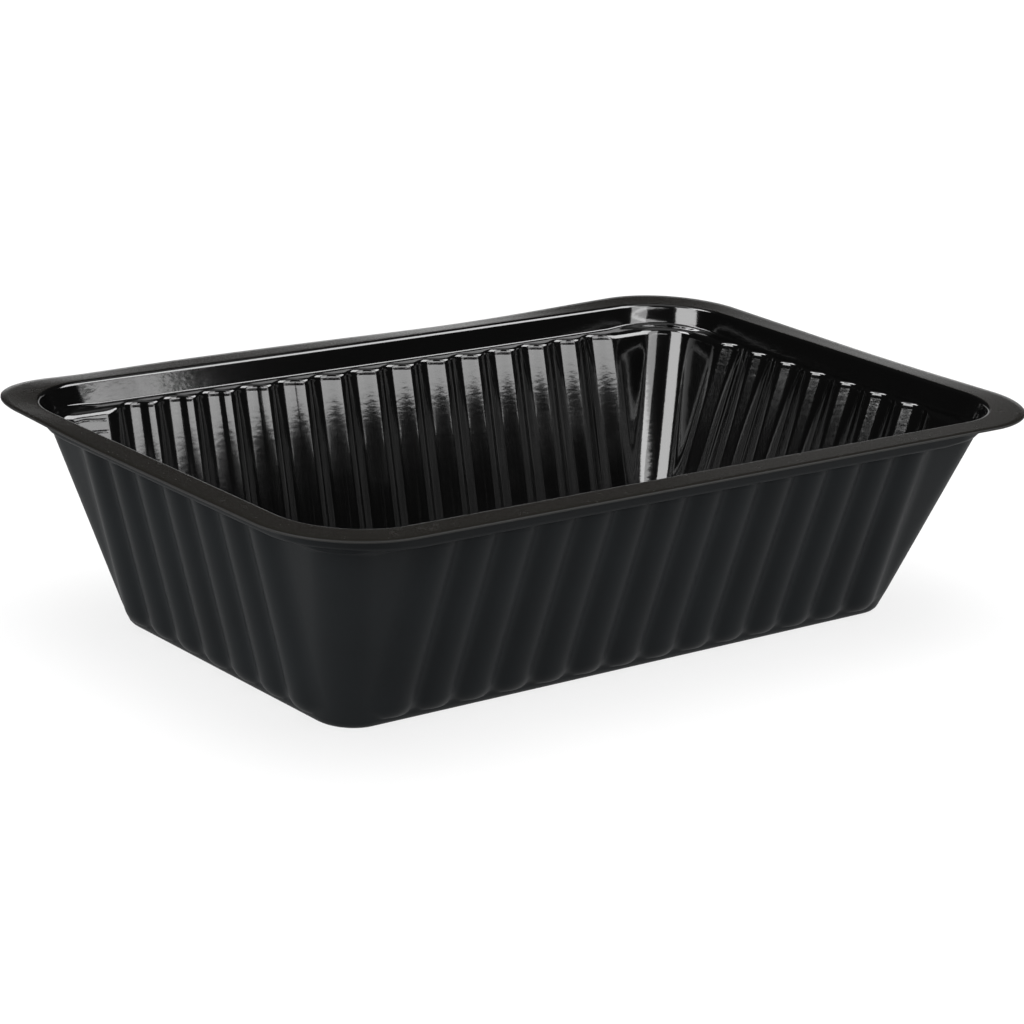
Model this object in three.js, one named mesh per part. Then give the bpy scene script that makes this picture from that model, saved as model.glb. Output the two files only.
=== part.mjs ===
// Fries tray: one thin thermoformed shell, open at the top.
// A flat lip runs round a short upright band, a narrow shoulder steps in below the band,
// and sloping walls with round flutes go down to a flat floor.
// Millimetres, +Z up, origin at the middle of the underside, X along the tray.
import * as THREE from "three";

// Overall size
const rimLength = 202.4;
const rimWidth = 130.4;
const height = 48.4;
const sheet = 0.5;

// Lip and upright band, the band measured on the inside
const lipCornerRadius = 22;
const lipWidth = 6.2;
const lipFoldRadius = 1.0;
const bandCornerRadius = 17.6;
const bandLean = 0.5;
const bandFootHeight = 44.1;
const bandFootRound = 0.6;
const bandCornerRise = 0.6;

// Shoulder between the band and the wall
const shoulderHeight = 43.0;
const shoulderEdgeRound = 0.6;

// Sloping wall, measured on the outside of the plain parts
const footWidth = 82.3;
const wallSlope = 0.304;
const footCornerRadius = 8.6;
const cornerRadiusGrowth = 0.02;
const footFoldRadius = 2.45;

// Flutes: round channels seen from inside, round ribs seen from outside
const flutePitch = 10;
const fluteDepth = 2.05;
const fluteRadius = 5.4;
const longWallFlutes = 14;
const shortWallFlutes = 7;
const fluteToeHeight = 2.4;
const fluteToeShare = 0.12;
const fluteBallHeight = 3.8;
const fluteBallShare = 0.75;
const fluteFullHeight = 5.2;

// Fineness of the facets
const cornerSteps = 10;
const stepsPerFlute = 8;
const foldSteps = 2;

const lengthOverWidth = (rimLength - rimWidth) / 2;
const wallAngle = Math.atan(wallSlope);

// Half width of the wall's plain parts on the outside, at a height
function wallHalf(z) {
  return footWidth / 2 + wallSlope * z;
}

// Corner radius that keeps rings of one height evenly spaced round the corner
function wallCornerRadius(half, z) {
  return footCornerRadius + cornerRadiusGrowth * z - (wallHalf(z) - half);
}

// Outward bulge of one flute at a distance from its middle; radius is that of the skin in question
function fluteBulge(offset, radius) {
  const arc = Math.sqrt(Math.max(radius * radius - offset * offset, 0));
  return Math.max(arc - (radius - fluteDepth), 0);
}

// A ring is a rounded rectangle at one height, given by the half width of the long walls.
// Its half length is larger by a fixed amount. flutes is the share of the flute depth there,
// and rise is how much higher the ring is in the middle of its corners.
function ring(half, z, radius, { flutes = 0, skinRadius = fluteRadius, rise = 0 } = {}) {
  return { half, z, radius, flutes, skinRadius, rise };
}

// The four walls in turn, with their outward normals; along is the normal turned a quarter left
const walls = [
  { normal: [0, -1], long: true },
  { normal: [1, 0], long: false },
  { normal: [0, 1], long: true },
  { normal: [-1, 0], long: false },
];

function fluteCount(wall) {
  return wall.long ? longWallFlutes : shortWallFlutes;
}

function flutedHalf(wall) {
  return (fluteCount(wall) * flutePitch) / 2;
}

function reach(wall, level) {
  const out = wall.long ? level.half : level.half + lengthOverWidth;
  const side = wall.long ? level.half + lengthOverWidth : level.half;
  return { out, side, straight: side - level.radius };
}

// Place in plan from a distance out of a wall and a distance along it
function inPlan(wall, out, along) {
  const [nx, ny] = wall.normal;
  return [nx * out - ny * along, ny * out + nx * along];
}

// Point of a ring on the fluted stretch of a wall
function flutedPoint(wall, level, along) {
  const { out, straight } = reach(wall, level);
  const past = Math.max(Math.abs(along) - straight, 0);
  const arc = Math.sqrt(level.radius ** 2 - past ** 2);
  const fromStart = along + flutedHalf(wall);
  const offset = (fromStart % flutePitch) - flutePitch / 2;
  const bulge = level.flutes * fluteBulge(offset, level.skinRadius);
  return inPlan(wall, out - level.radius + arc + bulge, along);
}

// Point of a ring on the plain corner after a wall, at a share of the way to the next wall
function cornerPoint(index, level, share) {
  const wall = walls[index];
  const next = walls[(index + 1) % walls.length];
  const here = reach(wall, level);
  const there = reach(next, level);
  const run = here.straight - flutedHalf(wall);
  const nextRun = there.straight - flutedHalf(next);
  const startAngle = Math.asin(Math.max(-run, 0) / level.radius);
  const endAngle = Math.PI / 2 - Math.asin(Math.max(-nextRun, 0) / level.radius);
  const arcLength = level.radius * (endAngle - startAngle);
  const firstRun = Math.max(run, 0);
  const total = firstRun + arcLength + Math.max(nextRun, 0);
  const distance = share * total;
  if (distance < firstRun) {
    return inPlan(wall, here.out, flutedHalf(wall) + distance);
  }
  if (distance > firstRun + arcLength) {
    return inPlan(next, there.out, -flutedHalf(next) - (total - distance));
  }
  const angle = startAngle + (distance - firstRun) / level.radius;
  const out = here.out - level.radius + level.radius * Math.cos(angle);
  const along = here.straight + level.radius * Math.sin(angle);
  return inPlan(wall, out, along);
}

// Stations round the tray: a key for their order and a rule for their point on any ring
function stationsRound(steps) {
  const stations = [];
  walls.forEach((wall, index) => {
    const count = fluteCount(wall) * steps;
    for (let i = 0; i <= count; i += 1) {
      const along = -flutedHalf(wall) + (i * flutePitch) / steps;
      stations.push({
        key: 2 * index + i / count,
        at: (level) => [...flutedPoint(wall, level, along), level.z],
      });
    }
    for (let i = 1; i < cornerSteps; i += 1) {
      const share = i / cornerSteps;
      const lift = Math.sin(Math.PI * share);
      stations.push({
        key: 2 * index + 1 + share,
        at: (level) => [...cornerPoint(index, level, share), level.z + level.rise * lift],
      });
    }
  });
  return stations;
}

const fineStations = stationsRound(stepsPerFlute);
const coarseStations = stationsRound(1);

// Rings of the foot's round fold, from the flat floor up to the wall
function foldRings(radius) {
  const centre = wallHalf(footFoldRadius) - footFoldRadius / Math.cos(wallAngle);
  const rings = [];
  for (let i = 0; i <= foldSteps; i += 1) {
    const angle = Math.PI / 2 - (i / foldSteps) * (Math.PI / 2 - wallAngle);
    const half = centre + radius * Math.cos(angle);
    const z = footFoldRadius - radius * Math.sin(angle);
    rings.push(ring(half, z, wallCornerRadius(half, z)));
  }
  return rings;
}

// Rings of the fluted wall, bottom to top, inset from the outside by a thickness
function wallRings(inset, top) {
  const skinRadius = fluteRadius + sheet - inset;
  const toe = [fluteToeHeight, fluteToeShare];
  const ball = [fluteBallHeight, fluteBallShare];
  return [toe, ball, [fluteFullHeight, 1], [top, 1]].map(([z, share]) => {
    const half = wallHalf(z) - inset / Math.cos(wallAngle);
    return ring(half, z, wallCornerRadius(half, z), { flutes: share, skinRadius });
  });
}

// Rings of the upright band and its rounded foot, bottom to top, set out from the inside
function bandRings(outset) {
  const top = rimWidth / 2 - lipWidth - lipFoldRadius + outset;
  const foot = top - bandLean;
  const footZ = bandFootHeight - outset / 2;
  const corner = bandCornerRadius + outset;
  const rise = bandCornerRise;
  return [
    ring(foot - bandFootRound, footZ - bandFootRound, corner - bandLean - bandFootRound, { rise }),
    ring(foot, footZ, corner - bandLean, { rise }),
    ring(top, height - lipFoldRadius, corner),
  ];
}

// Rings of the shell in order: floor, inside upwards, lip, outside downwards, underside
function shellRings() {
  const wallTop = shoulderHeight - shoulderEdgeRound;
  const insideWall = wallRings(sheet, wallTop);
  const shoulderEdge = { ...insideWall.at(-1), z: shoulderHeight };
  shoulderEdge.half += shoulderEdgeRound;
  shoulderEdge.radius += shoulderEdgeRound;
  const insideBand = bandRings(0);
  const bandTop = insideBand.at(-1);
  const foldMiddle = lipFoldRadius * (1 - Math.SQRT1_2);
  const foldTop = bandTop.half + lipFoldRadius;
  const foldTopCorner = bandTop.radius + lipFoldRadius;
  const under = height - sheet;
  return [
    ...foldRings(footFoldRadius - sheet),
    ...insideWall,
    shoulderEdge,
    ...insideBand,
    ring(bandTop.half + foldMiddle, height - foldMiddle, bandTop.radius + foldMiddle),
    ring(foldTop, height, foldTopCorner),
    ring(rimWidth / 2, height, lipCornerRadius),
    ring(rimWidth / 2, under, lipCornerRadius),
    ring(foldTop, under, foldTopCorner),
    ...bandRings(sheet).reverse(),
    ...wallRings(0, wallTop).reverse(),
    ...foldRings(footFoldRadius).reverse(),
  ];
}

// Joins two neighbouring rings with triangles, stepping along whichever is behind
function joinRings(lower, upper, triangles) {
  let i = 0;
  let j = 0;
  const next = (loop, index) => (index + 1 < loop.keys.length ? loop.keys[index + 1] : Infinity);
  const vertex = (loop, index) => loop.first + (index % loop.keys.length);
  while (i < lower.keys.length || j < upper.keys.length) {
    const upperFirst = j < upper.keys.length && (i >= lower.keys.length || next(upper, j) <= next(lower, i));
    if (upperFirst) {
      triangles.push(vertex(lower, i), vertex(upper, j), vertex(upper, j + 1));
      j += 1;
    } else {
      triangles.push(vertex(lower, i), vertex(upper, j), vertex(lower, i + 1));
      i += 1;
    }
  }
}

// Closed surface of the shell
function shellGeometry() {
  const positions = [];
  const triangles = [];
  const rings = shellRings();
  const addPoint = (x, y, z) => positions.push(x, y, z) / 3 - 1;
  const loops = rings.map((level) => {
    const stations = level.flutes > 0 ? fineStations : coarseStations;
    const first = positions.length / 3;
    stations.forEach((station) => addPoint(...station.at(level)));
    return { first, keys: stations.map((station) => station.key) };
  });
  for (let k = 0; k + 1 < loops.length; k += 1) {
    joinRings(loops[k], loops[k + 1], triangles);
  }
  const floor = loops[0];
  const floorMiddle = addPoint(0, 0, rings[0].z);
  floor.keys.forEach((key, i) => {
    triangles.push(floorMiddle, floor.first + i, floor.first + ((i + 1) % floor.keys.length));
  });
  const base = loops.at(-1);
  const baseMiddle = addPoint(0, 0, rings.at(-1).z);
  base.keys.forEach((key, i) => {
    triangles.push(base.first + i, baseMiddle, base.first + ((i + 1) % base.keys.length));
  });
  const geometry = new THREE.BufferGeometry();
  geometry.setAttribute("position", new THREE.Float32BufferAttribute(positions, 3));
  geometry.setIndex(triangles);
  geometry.computeVertexNormals();
  return geometry;
}

const blackPlastic = new THREE.MeshStandardMaterial({ color: 0x1b1c1c, roughness: 0.28, metalness: 0 });

const tray = new THREE.Mesh(shellGeometry(), blackPlastic);
tray.name = "tray";

const friesTray = new THREE.Group();
friesTray.add(tray);

export default friesTray;
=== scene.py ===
import math

import bpy
import numpy as np
from mathutils import Matrix, Vector


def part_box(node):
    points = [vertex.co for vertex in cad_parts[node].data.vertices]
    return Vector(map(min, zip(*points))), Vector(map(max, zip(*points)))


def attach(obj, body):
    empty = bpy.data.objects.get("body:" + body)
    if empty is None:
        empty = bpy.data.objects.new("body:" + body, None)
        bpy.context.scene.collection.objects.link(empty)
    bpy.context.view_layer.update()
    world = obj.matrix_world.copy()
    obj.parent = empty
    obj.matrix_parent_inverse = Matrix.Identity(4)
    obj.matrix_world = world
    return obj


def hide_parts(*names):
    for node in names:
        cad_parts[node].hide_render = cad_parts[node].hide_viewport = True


mm = 0.001  # sizes below are in millimetres
metre = 1 / mm

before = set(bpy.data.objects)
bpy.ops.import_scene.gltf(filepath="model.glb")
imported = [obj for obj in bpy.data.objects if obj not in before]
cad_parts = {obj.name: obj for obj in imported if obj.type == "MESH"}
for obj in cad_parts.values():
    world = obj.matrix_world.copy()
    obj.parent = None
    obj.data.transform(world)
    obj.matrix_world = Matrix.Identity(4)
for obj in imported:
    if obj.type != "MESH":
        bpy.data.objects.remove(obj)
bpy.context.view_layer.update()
trayLow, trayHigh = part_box("tray")
print("frame loaded, tray", [round(v / mm, 1) for v in trayHigh - trayLow], "mm")


class Wire:
    # an output socket that can stand in sums; a number in the sum becomes a socket value
    def __init__(self, sheet, socket):
        self.sheet = sheet
        self.socket = socket

    def math(self, operation, *others):
        return self.sheet.add("ShaderNodeMath", {"operation": operation}, [self, *others])

    def __add__(self, other):
        return self.math("ADD", other)

    __radd__ = __add__

    def __mul__(self, other):
        return self.math("MULTIPLY", other)

    __rmul__ = __mul__

    def __sub__(self, other):
        return self.math("SUBTRACT", other)

    def __rsub__(self, other):
        return self.sheet.add("ShaderNodeMath", {"operation": "SUBTRACT"}, [other, self])

    def __truediv__(self, other):
        return self.math("DIVIDE", other)

    def __rtruediv__(self, other):
        return self.sheet.add("ShaderNodeMath", {"operation": "DIVIDE"}, [other, self])

    def __pow__(self, other):
        return self.math("POWER", other)

    def out(self, name):
        return Wire(self.sheet, self.socket.node.outputs[name])

    def fade(self, low, high, start=0.0, end=1.0):  # smooth step between two values
        settings = {"interpolation_type": "SMOOTHSTEP"}
        return self.sheet.add("ShaderNodeMapRange", settings, [self, low, high, start, end])


class NodeSheet:
    # a node tree with one method that adds any node
    mixShare, mixFirst, mixSecond = 0, 6, 7  # sockets of a Mix node for colours

    def __init__(self, tree):
        self.tree = tree

    def add(self, kind, settings=None, sockets=()):
        node = self.tree.nodes.new(kind)
        for name, value in (settings or {}).items():
            setattr(node, name, value)
        pairs = sockets.items() if isinstance(sockets, dict) else enumerate(sockets)
        for key, value in pairs:
            if isinstance(value, Wire):
                self.tree.links.new(value.socket, node.inputs[key])
            else:
                node.inputs[key].default_value = value
        shown = [s for s in node.outputs if s.enabled]
        return Wire(self, shown[0]) if shown else node

    def noise(self, place, size, detail, stretch=(1, 1, 1)):  # 0 to 1, size in millimetres
        scale = tuple(1 / (size * s * mm) for s in stretch)
        spread = self.add("ShaderNodeVectorMath", {"operation": "MULTIPLY"}, [place, scale])
        sockets = {"Vector": spread, "Scale": 1.0, "Detail": detail}
        return self.add("ShaderNodeTexNoise", None, sockets)

    def blend(self, share, first, second):  # mix of two colours
        first, second = (c if isinstance(c, Wire) else (*c, 1) for c in (first, second))
        sockets = {self.mixShare: share, self.mixFirst: first, self.mixSecond: second}
        return self.add("ShaderNodeMix", {"data_type": "RGBA"}, sockets)

    def attribute(self, name):
        return self.add("ShaderNodeAttribute", {"attribute_name": name}).out("Fac")


# Shell: section read on the inside skin of the plain wall between two flutes
shell = {
    "sheet": 0.5,
    "footHalf": 41.15,  # outside of the wall carried down to the table
    "wallSlope": 0.304,
    "footFold": 1.95,
    "footCorner": 8.6,
    "cornerGrowth": 0.02,  # more corner radius for each millimetre up
    "shoulderHeight": 43.0,
    "shoulderRound": 1.9,
    "shoulderRunOut": 0.5,  # share of a flute's depth that is lost over the round
    "shoulderSpread": 1.76,  # more corner radius past the round, to stay clear of the band
    "bandFootInset": 8.3,  # from the lip's outer edge
    "bandFootHeight": 43.2,
    "bandFootRound": 0.45,
    "bandFootCorner": 17.1,
    "bandCornerRise": 0.8,  # the band's foot is higher in the corners
    "lipInset": 7.1,
    "lipFold": 0.9,
    "lipFoldCorner": 17.7,
    "lipCorner": 22.0,
    "edgeRound": 0.12,
    "floorShares": (0.05, 0.35, 0.7),  # rings of the floor, as shares of its outline
    "toeSteps": 8,  # steps up to each bend from the one before
    "wallSteps": 6,
    "shoulderSteps": 3,
    "bandSteps": 3,
    "lipSteps": 5,
    "bendSteps": 4,
    "bendGuard": 0.1,  # a ring this far from either end of a bend keeps the flats flat
    "cornerSteps": 36,
    "lipRings": 8,  # rings in the lip's finish, counted in from its edge
}
# Slight bends of two walls: from and full are heights, middle and reach lie along the wall
bows = {
    "farWall": {"axis": 1, "shift": -1.0, "middle": 20.0, "reach": 120.0,
                "from": 5.0, "full": 38.0},
    "rightWall": {"axis": 0, "shift": -0.45, "middle": -30.0, "reach": 55.0,
                  "from": 43.0, "full": 5.0},
}
bowSide = (30.0, 45.0)  # a bend fades in between these distances from the tray's middle
# Rises and dips of the lip's outer edge, each round a place in plan
lipWarp = {
    "farSide": {"rise": -0.35, "at": (0, 110), "span": 110},
    "farDip": {"rise": -0.5, "at": (30, 65), "span": 32},
    "rightDip": {"rise": -0.4, "at": (101, -10), "span": 30},
    "farCorner": {"rise": 0.45, "at": (88, 62), "span": 28},
    "leftCorner": {"rise": 0.9, "at": (-101, 50), "span": 22},
    "leftDip": {"rise": -0.5, "at": (-78, 65), "span": 20},
}
flutes = {
    "pitch": 10.0,
    "depth": 2.15,
    "valley": 5.6,  # radius of the round in a flute's middle
    "ridge": 3.5,  # radius of the round between two flutes
    "endRidge": 8.0,  # and where an end flute runs out into the plain wall
    "softness": 0.5,  # rounds a flute's rim where it is shallow
    "fullHeight": 5.4,  # top of the round toe
    "longCount": 14,
    "shortCount": 7,
    "steps": 16,
    "endSteps": 4,  # points where an end flute runs out
    "crowding": 1.15,  # crowds the points towards the ridge
}
lipHalf = trayHigh.y / mm
lengthOver = (trayHigh.x - trayHigh.y) / mm
rimHeight = trayHigh.z / mm
skinAcross = shell["sheet"] * math.hypot(1, shell["wallSlope"])  # level through the wall


def wallBend(z, **more):  # place on the plain wall's inside skin
    half = shell["footHalf"] + shell["wallSlope"] * z - skinAcross
    corner = shell["footCorner"] + shell["cornerGrowth"] * z - skinAcross
    return {"half": half, "z": z, "corner": corner, **more}


def sectionBends():  # from the floor, up the wall and over the band, to the lip's edge
    return [
        {"half": 0, "z": shell["sheet"], "corner": 0},
        wallBend(shell["sheet"], round=shell["footFold"]),
        wallBend(flutes["fullHeight"], flutes=1, steps=shell["toeSteps"]),
        wallBend(shell["shoulderHeight"], flutes=1, round=shell["shoulderRound"],
                 runOut=shell["shoulderRunOut"], spread=shell["shoulderSpread"],
                 steps=shell["wallSteps"]),
        {"half": lipHalf - shell["bandFootInset"], "z": shell["bandFootHeight"],
         "corner": shell["bandFootCorner"], "round": shell["bandFootRound"],
         "rise": shell["bandCornerRise"], "flutes": 1 - shell["shoulderRunOut"], "hold": 0,
         "steps": shell["shoulderSteps"]},
        {"half": lipHalf - shell["lipInset"], "z": rimHeight, "corner": shell["lipFoldCorner"],
         "round": shell["lipFold"], "hold": 0, "steps": shell["bandSteps"]},
        {"half": lipHalf - shell["edgeRound"], "z": rimHeight, "corner": shell["lipCorner"],
         "lip": 1, "hold": 0, "steps": shell["lipSteps"]},
    ]


def slantBetween(bend, following):
    return math.atan2(following["z"] - bend["z"], following["half"] - bend["half"])


# flutes is the share of the depth that is pressed, hold fades it over the shoulder's flat
def ringAt(bend, half, z, slant):
    return {"half": half, "z": z, "corner": bend["corner"] + half - bend["half"],
            "slant": slant, "rise": bend.get("rise", 0), "flutes": bend.get("flutes", 0),
            "hold": bend.get("hold", 1), "lip": bend.get("lip", 0)}


def bendRings(before, bend, after):  # rings along the round of one bend
    slantIn = slantBetween(before, bend)
    turn = slantBetween(bend, after) - slantIn
    reach = bend["round"] * math.tan(abs(turn) / 2)
    radius = math.copysign(bend["round"], turn)
    # the round's centre
    half = bend["half"] - reach * math.cos(slantIn) - radius * math.sin(slantIn)
    z = bend["z"] - reach * math.sin(slantIn) + radius * math.cos(slantIn)
    slants = slantIn + turn * np.arange(shell["bendSteps"] + 1) / shell["bendSteps"]
    rings = [ringAt(bend, half + radius * math.sin(a), z - radius * math.cos(a), a)
             for a in slants]
    guard = shell["bendGuard"]
    ends = [ringAt(bend, ring["half"] + way * math.cos(ring["slant"]),
                   ring["z"] + way * math.sin(ring["slant"]), ring["slant"])
            for ring, way in ((rings[0], -guard), (rings[-1], guard))]
    across = rings[-1]["half"] - rings[0]["half"]
    for ring in (*rings, *ends):
        done = min(max((ring["half"] - rings[0]["half"]) / across, 0), 1)
        ring["flutes"] *= 1 - bend.get("runOut", 0) * done
        ring["corner"] += bend.get("spread", 0) * done
    return [ends[0], *rings, ends[1]]


def insideRings():
    bends = sectionBends()
    rings = []
    for i, bend in enumerate(bends[1:], 1):
        if "round" in bend:
            made = bendRings(bends[i - 1], bend, bends[i + 1])
        else:
            slant = slantBetween(bends[i - 1], bend)
            made = [ringAt(bend, bend["half"], bend["z"], slant)]
        start, end = rings[-1] if rings else made[0], made[0]
        for k in range(1, bend.get("steps", 0)):
            share = k / bend["steps"]
            rings.append({key: start[key] * (1 - share) + end[key] * share for key in end})
        rings.extend(made)
    for ring in rings:
        if ring["z"] < flutes["fullHeight"]:
            ring["flutes"] = math.sqrt(1 - (1 - ring["flutes"]) ** 2)  # a flute's toe is round
    return rings


def outsideRings(rings):  # the same rings one sheet further out
    sheet = shell["sheet"]
    return [{**ring, "half": ring["half"] + sheet * math.sin(ring["slant"]),
             "z": ring["z"] - sheet * math.cos(ring["slant"]),
             "corner": ring["corner"] + sheet * math.sin(ring["slant"])} for ring in rings]


walls = [  # outward normal, long or short
    {"normal": (0, -1), "count": flutes["longCount"], "long": True},
    {"normal": (1, 0), "count": flutes["shortCount"], "long": False},
    {"normal": (0, 1), "count": flutes["longCount"], "long": True},
    {"normal": (-1, 0), "count": flutes["shortCount"], "long": False},
]


def stationsAlong(wall):  # distances along the fluted stretch of a wall, from its middle
    half = flutes["pitch"] / 2
    share = np.arange(flutes["steps"] // 2 + 1) / (flutes["steps"] // 2)
    right = half * (1 - (1 - share) ** flutes["crowding"])
    one = np.concatenate([-right[:0:-1], right[:-1]])  # one ridge to just before the next
    middles = (np.arange(wall["count"]) - (wall["count"] - 1) / 2) * flutes["pitch"]
    along = (middles[:, None] + one[None, :]).ravel()
    reach = flutes["valley"] + flutes["endRidge"]
    endHalf = math.sqrt(reach ** 2 - (reach - flutes["depth"]) ** 2)
    past = middles[-1] + np.linspace(half, endHalf, flutes["endSteps"])
    return np.concatenate([-past[:0:-1], along, past])


def wallReach(wall, half, corner):  # distance out of the wall, end of its straight part
    out = half if wall["long"] else half + lengthOver
    side = half + lengthOver if wall["long"] else half
    return out, side - corner


def wallPlan(wall, out, along):
    normal = np.array(wall["normal"], float)
    turned = np.array([-normal[1], normal[0]])
    return out[:, None] * normal + along[:, None] * turned


def ringPlan(half, corner):  # plan of a plain ring: each wall, followed by its corner
    parts = []
    for i, wall in enumerate(walls):
        following = walls[(i + 1) % len(walls)]
        out, straight = wallReach(wall, half, corner)
        nextOut, nextStraight = wallReach(following, half, corner)
        along = stationsAlong(wall)
        past = np.maximum(np.abs(along) - straight, 0)
        parts.append(wallPlan(wall, out - corner + np.sqrt(corner ** 2 - past ** 2), along))
        run = straight - along[-1]
        nextRun = nextStraight - stationsAlong(following)[-1]
        first = math.asin(max(-run, 0) / corner)
        last = math.pi / 2 - math.asin(max(-nextRun, 0) / corner)
        lengths = [max(run, 0), corner * (last - first), max(nextRun, 0)]
        for k in range(1, shell["cornerSteps"]):
            distance = sum(lengths) * k / shell["cornerSteps"]
            if distance < lengths[0]:
                place = wallPlan(wall, np.array([out]), along[-1:] + distance)
            elif distance < lengths[0] + lengths[1]:
                a = first + (distance - lengths[0]) / corner
                place = wallPlan(wall, np.array([out - corner + corner * math.cos(a)]),
                                 np.array([straight + corner * math.sin(a)]))
            else:
                rest = sum(lengths) - distance
                start = stationsAlong(following)[0]
                place = wallPlan(following, np.array([nextOut]), np.array([start - rest]))
            parts.append(place)
    return np.concatenate(parts)


# For each station: run along the flutes, end flute, outward normal, place in the corner
def stationMarks():
    runs, ends, normals, corners = [], [], [], []
    for wall in walls:
        along = stationsAlong(wall)
        half = wall["count"] * flutes["pitch"] / 2
        runs.append(np.where(np.abs(along) > half, half - np.abs(along), along + half))
        ends.append(np.abs(along) > half - flutes["pitch"] / 2)
        normals.append(np.tile(np.array([*wall["normal"], 0.0]), (len(along), 1)))
        corners.append(np.zeros(len(along)))
        count = shell["cornerSteps"] - 1
        runs.append(np.zeros(count))
        ends.append(np.zeros(count))
        normals.append(np.zeros((count, 3)))
        corners.append(np.arange(1, count + 1) / (count + 1))
    return tuple(np.concatenate(part) for part in (runs, ends, normals, corners))


def lipLift(plan):  # how far the lip's outer edge stands above its level
    lift = np.zeros(len(plan))
    for spot in lipWarp.values():
        away = np.linalg.norm(plan - spot["at"], axis=1) / spot["span"]
        lift += spot["rise"] * np.exp(-away ** 2)
    return lift


def bowed(loop):
    moved = loop.copy()
    for bow in bows.values():
        out, along, z = loop[:, bow["axis"]], loop[:, 1 - bow["axis"]], loop[:, 2]
        share = np.clip(1 - ((along - bow["middle"]) / bow["reach"]) ** 2, 0, 1) ** 2
        height = np.clip((z - bow["from"]) / (bow["full"] - bow["from"]), 0, 1)
        side = np.clip((out - bowSide[0]) / (bowSide[1] - bowSide[0]), 0, 1)
        moved[:, bow["axis"]] += bow["shift"] * share * height * side
    return moved


def shellMesh():
    inside = insideRings()
    rim = {**inside[-1], "half": lipHalf}
    cut = [{**rim, "z": rimHeight - shell["edgeRound"]},  # the sheet's cut edge
           {**rim, "z": rimHeight - shell["sheet"] + shell["edgeRound"]}]
    rings = [*inside, *cut, *outsideRings(inside)[::-1]]
    runs, ends, normals, corners = stationMarks()
    lift = np.sin(math.pi * corners)
    loops = []
    for ring in rings:
        plan = ringPlan(ring["half"], ring["corner"])
        z = ring["z"] + ring["rise"] * lift + ring["lip"] * lipLift(plan)
        loops.append(bowed(np.column_stack([plan, z])))
    inward = [loops[0] * (share, share, 1) for share in shell["floorShares"]]
    under = [loops[-1] * (share, share, 1) for share in reversed(shell["floorShares"])]
    loops = [*inward, *loops, *under]
    rings = [*[rings[0]] * len(inward), *rings, *[rings[-1]] * len(under)]
    around, count = len(runs), len(rings)
    faces = []
    for low in range(0, (count - 1) * around, around):
        high = low + around
        for s in range(around):
            t = (s + 1) % around
            faces.append((low + s, high + s, high + t, low + t))
    faces.append(tuple(range(around)))
    faces.append(tuple((count - 1) * around + s for s in reversed(range(around))))
    mesh = bpy.data.meshes.new("trayShell")
    mesh.from_pydata(np.concatenate(loops) * mm, [], faces)
    number = np.arange(count)
    cutTop = len(inward) + len(inside)  # the first ring of the cut edge
    lipFrom = cutTop - shell["lipRings"]
    share, hold = (np.array([ring[key] for ring in rings]) for key in ("flutes", "hold"))
    marks = {
        "fluteRun": np.tile(runs, count) * mm,
        "fluteShare": np.repeat(share, around) * np.tile(corners == 0, count),
        "fluteHold": np.repeat(hold, around),
        "plainCorner": np.repeat(share * hold, around) * np.tile(corners > 0, count),
        "fluteSkin": np.repeat((number > cutTop) * shell["sheet"], around) * mm,
        "fluteEnd": np.tile(ends, count),
        "cutEdge": np.repeat((number == cutTop) | (number == cutTop + 1), around),
        "lipInner": np.repeat(number == lipFrom, around),
    }
    for name, values in marks.items():
        layer = mesh.attributes.new(name, "FLOAT", "POINT")
        layer.data.foreach_set("value", values.astype(np.float32))
    outward = np.tile(normals, (count, 1)).astype(np.float32)
    layer = mesh.attributes.new("wallOut", "FLOAT_VECTOR", "POINT")
    layer.data.foreach_set("vector", outward.ravel())
    ringOf = np.append(np.repeat(number[:-1], around), [0, count])  # the floor and underside last
    finish = np.select([ringOf < lipFrom, ringOf < cutTop - 1], [0, 1], 2)  # inside, lip, outside
    layer = mesh.attributes.new("finish", "INT", "FACE")
    layer.data.foreach_set("value", finish.astype(np.int32))
    return mesh


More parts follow.
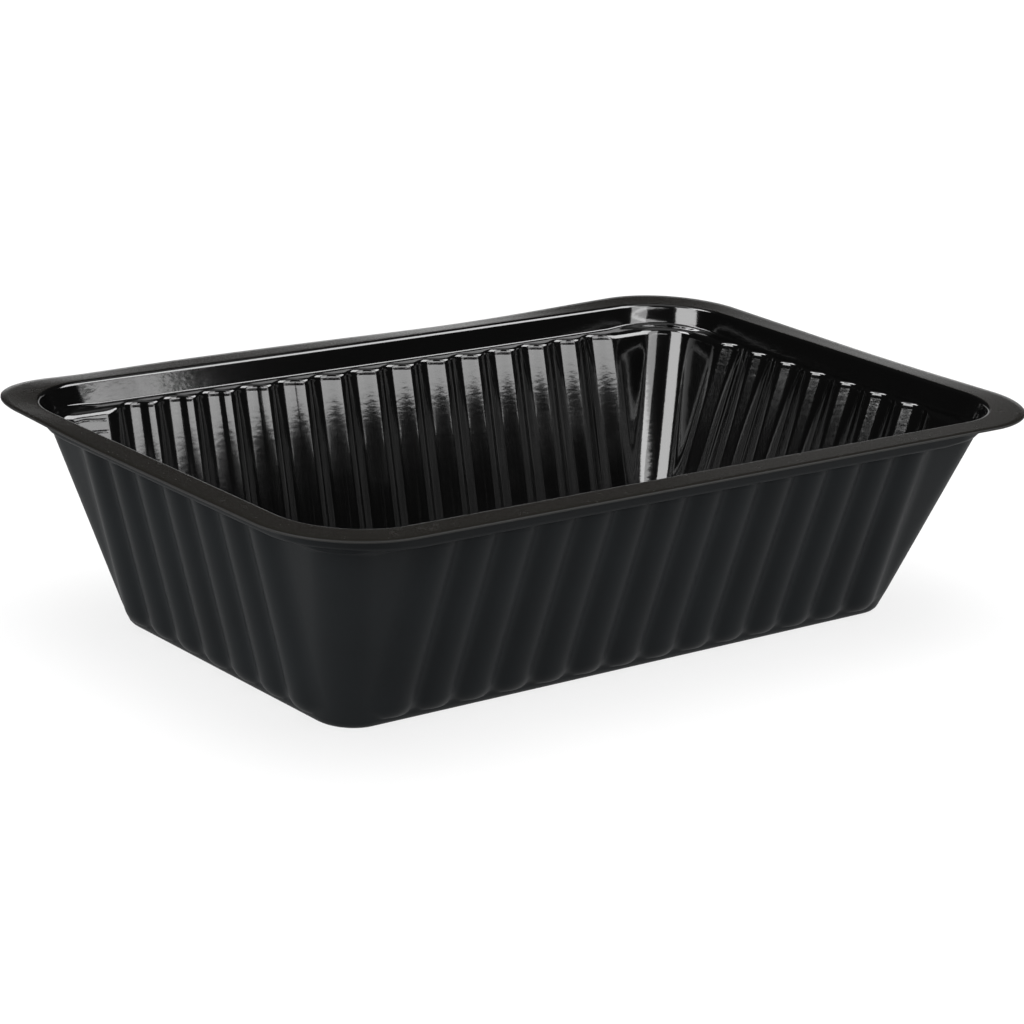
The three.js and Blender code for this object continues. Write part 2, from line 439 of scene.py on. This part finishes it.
def fluteTree(materials):
    # pushes the plain wall out into round flutes and gives each skin its finish
    tree = bpy.data.node_groups.new("pressFlutes", "GeometryNodeTree")
    tree.interface.new_socket("Shell", in_out="INPUT", socket_type="NodeSocketGeometry")
    sizes = {}
    for name in ["pitch", "depth", "valley", "ridge", "endRidge", "softness"]:
        item = tree.interface.new_socket(name, in_out="INPUT", socket_type="NodeSocketFloat")
        sizes[name] = item.identifier
    tree.interface.new_socket("Tray", in_out="OUTPUT", socket_type="NodeSocketGeometry")
    sheet = NodeSheet(tree)
    given = sheet.add("NodeGroupInput")

    def named(name, kind="FLOAT"):
        return sheet.add("GeometryNodeInputNamedAttribute", {"data_type": kind}, {"Name": name})

    share, skin, end = named("fluteShare"), named("fluteSkin"), named("fluteEnd")
    middle, depth = given.out("pitch") / 2, given.out("depth")
    valley = given.out("valley") + skin
    ridge = given.out("ridge") + end * (given.out("endRidge") - given.out("ridge")) - skin
    reach = valley + ridge
    # an end flute is as wide as it takes to meet the plain wall
    endHalf = (reach * reach - (reach - depth) ** 2.0).math("SQRT")
    half = middle + end * (endHalf - middle)
    fall = reach - (reach * reach - half * half).math("SQRT")  # from a flute's middle to the ridge
    offset = (named("fluteRun").math("MODULO", given.out("pitch")) - middle).math("ABSOLUTE")
    beside = half - offset
    bowl = (valley * valley - offset * offset).math("SQRT") - valley + depth
    crown = ridge - (ridge * ridge - beside * beside).math("SQRT") - fall + depth
    onCrown = offset.math("GREATER_THAN", valley * half / reach)
    profile = bowl + onCrown * (crown - bowl)
    soft = given.out("softness") * share * (1 - share)
    bulge = (profile - depth * (1 - share)).math("SMOOTH_MAX", 0.0, soft) * named("fluteHold")
    push = sheet.add("ShaderNodeVectorMath", {"operation": "SCALE"},
                     {"Vector": named("wallOut", "FLOAT_VECTOR"), "Scale": bulge})
    pressed = sheet.add("GeometryNodeSetPosition", None,
                        {"Geometry": given.out("Shell"), "Offset": push})
    made = sheet.add("GeometryNodeRealizeInstances", None, [pressed])
    wholeFirst, wholeSecond = 2, 3  # sockets of a Compare node for whole numbers
    for number, material in enumerate(materials):
        chosen = sheet.add("FunctionNodeCompare", {"data_type": "INT", "operation": "EQUAL"},
                           {wholeFirst: named("finish", "INT"), wholeSecond: number})
        made = sheet.add("GeometryNodeSetMaterial", None,
                         {"Geometry": made, "Selection": chosen, "Material": material})
    sheet.add("NodeGroupOutput", None, [made])
    return tree, sizes


# Finishes of the sheet: gloss inside, satin on the lip and outside
gloss = {
    "color": (0.0012, 0.0012, 0.0012),
    "roughness": 0.085,
    "smear": 0.03,  # more roughness in faint smears
    "smearSize": 14.0,
    "smearFade": (0.45, 0.75),
    "peelSize": 1.2,
    "peelStretch": (1.5, 1.5, 0.8),
    "peelHeight": 0.011,
    "waveSize": 5.0,
    "waveStretch": (1, 1, 4),  # drawn out up the wall
    "waveHeight": 0.012,
    "chillPitch": 2.3,  # level chill lines in the plain wall at the left end
    "chillWidth": 0.18,
    "chillWobble": 0.5,
    "chillSize": 5.0,
    "chillDepth": 0.035,
    "chillEnd": -66.0,
    "chillFade": 2.0,
    "chillFrom": 31.0,  # heights between which the lines come in
    "chillFull": 37.0,
    "speckColor": (0.28, 0.28, 0.28),
    "speckSpacing": 11.0,
    "speckRadius": 0.16,
    "speckCore": 0.5,  # share of the radius that has the full colour
    "speckKept": (0.55, 0.56),  # the spots over this draw are shown
    "speckRoughness": 0.4,
}
lipFinish = {
    "color": (0.0046, 0.0041, 0.0033),
    "scuffColor": (0.012, 0.0115, 0.0105),
    "roughness": 0.25,
    "grain": 0.1,
    "grainSize": 0.35,
    "grainHeight": 0.004,
    "scuffSize": 4.0,
    "scuffStretch": (1, 1, 0.3),
    "scuffFade": (0.6, 0.8),
    "scuffRoughness": 0.08,
}
satin = {
    "color": (0.0039, 0.0043, 0.0047),
    "hazeColor": (0.0063, 0.0074, 0.0082),
    "paintedEdgeHighlight": (0.014, 0.0138, 0.0132),  # the sheet's cut edge, made lighter: a painted highlight for the light line along the edge
    "roughness": 0.48,
    "grain": 0.1,
    "grainSize": 0.3,
    "grainHeight": 0.003,
    "hazeSize": 18.0,
    "specular": 0.055,
}


def plastic(name, build, **fixed):
    # a plastic whose varying sockets come from build, and fixed ones from the shader itself
    material = bpy.data.materials.new(name)
    material.use_nodes = True
    material.node_tree.nodes.clear()
    sheet = NodeSheet(material.node_tree)
    place = sheet.add("ShaderNodeTexCoord").out("Object")
    shader = sheet.add("ShaderNodeBsdfPrincipled", None, {**fixed, **build(sheet, place)})
    sheet.add("ShaderNodeOutputMaterial", None, [shader])
    return material


def bumped(sheet, height, depth):
    sockets = {"Strength": 1.0, "Distance": depth * mm, "Height": height}
    return sheet.add("ShaderNodeBump", None, sockets)


def glossNodes(sheet, place):
    f = gloss
    smear = sheet.noise(place, f["smearSize"], detail=3).fade(*f["smearFade"])
    spots = sheet.add("ShaderNodeTexVoronoi", None,
                      {"Vector": place, "Scale": 1 / (f["speckSpacing"] * mm)})
    draw = sheet.add("ShaderNodeSeparateColor", None, [spots.out("Color")])
    radius = f["speckRadius"] / f["speckSpacing"]
    spot = spots.out("Distance").fade(radius, radius * f["speckCore"])
    speck = spot * draw.fade(*f["speckKept"])
    peel = sheet.noise(place, f["peelSize"], detail=2, stretch=f["peelStretch"])
    wave = sheet.noise(place, f["waveSize"], detail=1, stretch=f["waveStretch"])
    part = sheet.add("ShaderNodeSeparateXYZ", None, [place])
    atEnd = part.out("X").fade((f["chillEnd"] + f["chillFade"]) * mm, f["chillEnd"] * mm)
    atBack = part.out("Y").fade(0, f["chillFade"] * mm)
    atTop = part.out("Z").fade(f["chillFrom"] * mm, f["chillFull"] * mm)
    wobble = sheet.noise(place, f["chillSize"], detail=1) * f["chillWobble"]
    level = part.out("Z") / (f["chillPitch"] * mm) + wobble
    lines = level.math("PINGPONG", 0.5).fade(f["chillWidth"], 0)
    chill = lines * (atEnd * atBack * atTop) * sheet.attribute("plainCorner")
    height = peel * f["peelHeight"] + wave * f["waveHeight"] - chill * f["chillDepth"]
    return {
        "Base Color": sheet.blend(speck, f["color"], f["speckColor"]),
        "Roughness": smear * f["smear"] + f["roughness"] + speck * f["speckRoughness"],
        "Normal": bumped(sheet, height * mm, metre),
    }


def lipNodes(sheet, place):
    f = lipFinish
    inner = sheet.attribute("lipInner")
    grain = sheet.noise(place, f["grainSize"], detail=3)
    scuff = sheet.noise(place, f["scuffSize"], detail=6, stretch=f["scuffStretch"])
    scuff = scuff.fade(*f["scuffFade"])
    worn = sheet.blend(scuff * grain, f["color"], f["scuffColor"])
    rough = grain * f["grain"] + (f["roughness"] - f["grain"] / 2) + scuff * f["scuffRoughness"]
    return {
        "Base Color": sheet.blend(inner, worn, gloss["color"]),
        "Roughness": rough + inner * (gloss["roughness"] - rough),
        "Normal": bumped(sheet, grain, f["grainHeight"]),
    }


def satinNodes(sheet, place):
    f = satin
    grain = sheet.noise(place, f["grainSize"], detail=2)
    haze = sheet.noise(place, f["hazeSize"], detail=4)
    hazy = sheet.blend(haze, f["color"], f["hazeColor"])
    return {
        # the cut edge gets a lighter colour, a painted highlight standing in for its light line
        "Base Color": sheet.blend(sheet.attribute("cutEdge"), hazy, f["paintedEdgeHighlight"]),
        "Roughness": grain * f["grain"] + haze * f["grain"] + (f["roughness"] - f["grain"]),
        "Normal": bumped(sheet, grain, f["grainHeight"]),
    }


materials = [
    plastic("glossBlack", glossNodes),
    plastic("lipSatin", lipNodes),
    plastic("outsideSatin", satinNodes, **{"Specular IOR Level": satin["specular"]}),
]

plain = bpy.data.objects.new("plainShell", shellMesh())
for material in materials:
    plain.data.materials.append(material)
bpy.context.scene.collection.objects.link(plain)
tree, sizes = fluteTree(materials)
press = plain.modifiers.new("pressFlutes", "NODES")
press.node_group = tree
for name, identifier in sizes.items():
    press[identifier] = flutes[name] * mm
graph = bpy.context.evaluated_depsgraph_get()
trayMesh = bpy.data.meshes.new_from_object(plain.evaluated_get(graph), depsgraph=graph,
                                           preserve_all_data_layers=True)
trayMesh.shade_smooth()
trayPiece = bpy.data.objects.new("trayPressed", trayMesh)
bpy.context.scene.collection.objects.link(trayPiece)
bpy.data.objects.remove(plain)
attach(trayPiece, "root")
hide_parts("tray")
trayMesh.calc_loop_triangles()
print("tray pressed,", len(trayMesh.loop_triangles), "triangles")

# Floor
ground = {
    "half": 3000.0,
    "toneSize": 60.0,
    "lowTone": (0.86, 0.86, 0.86),
    "highTone": (0.88, 0.88, 0.88),
    "roughness": 0.9,
    "specular": 0.1,
}


def floorNodes(sheet, place):
    tone = sheet.noise(place, ground["toneSize"], detail=3)
    return {"Base Color": sheet.blend(tone, ground["lowTone"], ground["highTone"])}


floorHalf = ground["half"] * mm
floorMesh = bpy.data.meshes.new("floor")
floorMesh.from_pydata([(-floorHalf, -floorHalf, 0), (floorHalf, -floorHalf, 0),
                       (floorHalf, floorHalf, 0), (-floorHalf, floorHalf, 0)], [], [(0, 1, 2, 3)])
floorMesh.materials.append(plastic("paleFloor", floorNodes, **{
    "Roughness": ground["roughness"], "Specular IOR Level": ground["specular"]}))
floor = bpy.data.objects.new("floor", floorMesh)
bpy.context.scene.collection.objects.link(floor)

# Camera at the photograph's viewing angle
viewing = {
    "azimuth": -40.032,
    "elevation": 17.119,
    "roll": 3.314,
    "distance": 727.285,
    "aimRight": -1.491,
    "aimUp": 23.265,
    "lens": 117.09,
    "sensor": 36.0,
    "clipStart": 10.0,
}


def photoCamera():
    azimuth, elevation, roll = (math.radians(viewing[k]) for k in ("azimuth", "elevation", "roll"))
    back = Vector((math.sin(azimuth) * math.cos(elevation),
                   -math.cos(azimuth) * math.cos(elevation), math.sin(elevation)))
    right = Vector((math.cos(azimuth), math.sin(azimuth), 0))
    up = back.cross(right)
    turnedRight = right * math.cos(roll) + up * math.sin(roll)
    turnedUp = up * math.cos(roll) - right * math.sin(roll)
    aim = right * viewing["aimRight"] + Vector((0, 0, viewing["aimUp"]))
    data = bpy.data.cameras.new("photoCamera")
    data.lens = viewing["lens"]
    data.sensor_width = viewing["sensor"]
    data.clip_start = viewing["clipStart"] * mm
    camera = bpy.data.objects.new("photoCamera", data)
    place = Matrix.Translation((aim + back * viewing["distance"]) * mm)
    camera.matrix_world = place @ Matrix((turnedRight, turnedUp, back)).transposed().to_4x4()
    bpy.context.scene.collection.objects.link(camera)
    bpy.context.scene.camera = camera


photoCamera()
print("camera placed")

# Light: a soft sky, softboxes that shine on the tray alone, and one light for the floor alone
studio = {
    "room": 0.02,  # near the horizon
    "sky": 1.0,  # overhead
    "skyFrom": 50.0,  # degrees up between which the sky comes in
    "skyTo": 65.0,
    "floorLight": 3.0,
}
softboxes = {  # foot is the middle of a box's lower edge, face the way it looks in plan
    "leftBox": {"foot": (-700, -190, 276), "size": (500, 480), "face": 8, "tilt": 10,
                "radiance": 11.0},
    "frontBox": {"foot": (167, -722, 275), "size": (387, 420), "face": 95, "tilt": 20,
                 "radiance": 6.0},
    "lowBox": {"foot": (56, -260, 106), "size": (374, 55), "face": 58, "roll": -5.5,
               "radiance": 7.0},
    "bandBox": {"foot": (154, -376, 91), "size": (98, 21), "face": 120, "radiance": 7.5},
    "rightBox": {"foot": (586, -469, 340), "size": (480, 420), "face": 138, "tilt": 34,
                 "radiance": 12.5},
    "backBox": {"foot": (-589, 317, 760), "size": (480, 330), "face": -27, "tilt": 52,
                "radiance": 17.0},
    "farBox": {"foot": (560, 690, 5), "size": (1000, 150), "face": -130, "radiance": 0.8},
    "cornerBox": {"foot": (678, 561, 156), "size": (150, 100), "face": -136, "radiance": 0.35},
    "sideBox": {"foot": (-700, -50, 0), "size": (900, 85), "face": 4, "radiance": 14.0},
}
world = bpy.data.worlds.new("studio")
world.use_nodes = True
world.node_tree.nodes.clear()
sky = NodeSheet(world.node_tree)
heading = sky.add("ShaderNodeSeparateXYZ", None, [sky.add("ShaderNodeTexCoord").out("Generated")])
lowSky, highSky = (math.sin(math.radians(studio[k])) for k in ("skyFrom", "skyTo"))
strength = heading.out("Z").fade(lowSky, highSky, studio["room"], studio["sky"])
backdrop = sky.add("ShaderNodeBackground", None, {"Color": (1, 1, 1, 1), "Strength": strength})
sky.add("ShaderNodeOutputWorld", None, [backdrop])
bpy.context.scene.world = world
bpy.context.scene.view_settings.view_transform = "Standard"
onTray = bpy.data.collections.new("litBySoftboxes")
onTray.objects.link(trayPiece)


def softbox(name, box):
    face, tilt, roll = (math.radians(box.get(k, 0)) for k in ("face", "tilt", "roll"))
    level = Vector((math.cos(face), math.sin(face), 0))
    upright = Vector((0, 0, math.cos(tilt))) + level * math.sin(tilt)  # leans over the tray
    outward = level * math.cos(tilt) - Vector((0, 0, math.sin(tilt)))
    across = upright.cross(outward)
    across, upright = (across * math.cos(roll) + upright * math.sin(roll),
                       upright * math.cos(roll) - across * math.sin(roll))
    middle = Vector(box["foot"]) + upright * box["size"][1] / 2
    data = bpy.data.lights.new(name, "AREA")
    data.shape = "RECTANGLE"
    data.size, data.size_y = (s * mm for s in box["size"])
    data.energy = box["radiance"] * math.pi * data.size * data.size_y
    lamp = bpy.data.objects.new(name, data)
    turn = Matrix((across, upright, -outward)).transposed()
    lamp.matrix_world = Matrix.Translation(middle * mm) @ turn.to_4x4()
    lamp.visible_camera = False
    lamp.light_linking.receiver_collection = onTray
    bpy.context.scene.collection.objects.link(lamp)


for name, box in softboxes.items():
    softbox(name, box)

floorLight = bpy.data.objects.new("floorLight", bpy.data.lights.new("floorLight", "SUN"))
floorLight.data.energy = studio["floorLight"]
onFloor = bpy.data.collections.new("floorAlone")
onFloor.objects.link(floor)
floorLight.light_linking.receiver_collection = onFloor
floorLight.light_linking.blocker_collection = onFloor
bpy.context.scene.collection.objects.link(floorLight)

print("scene ready")
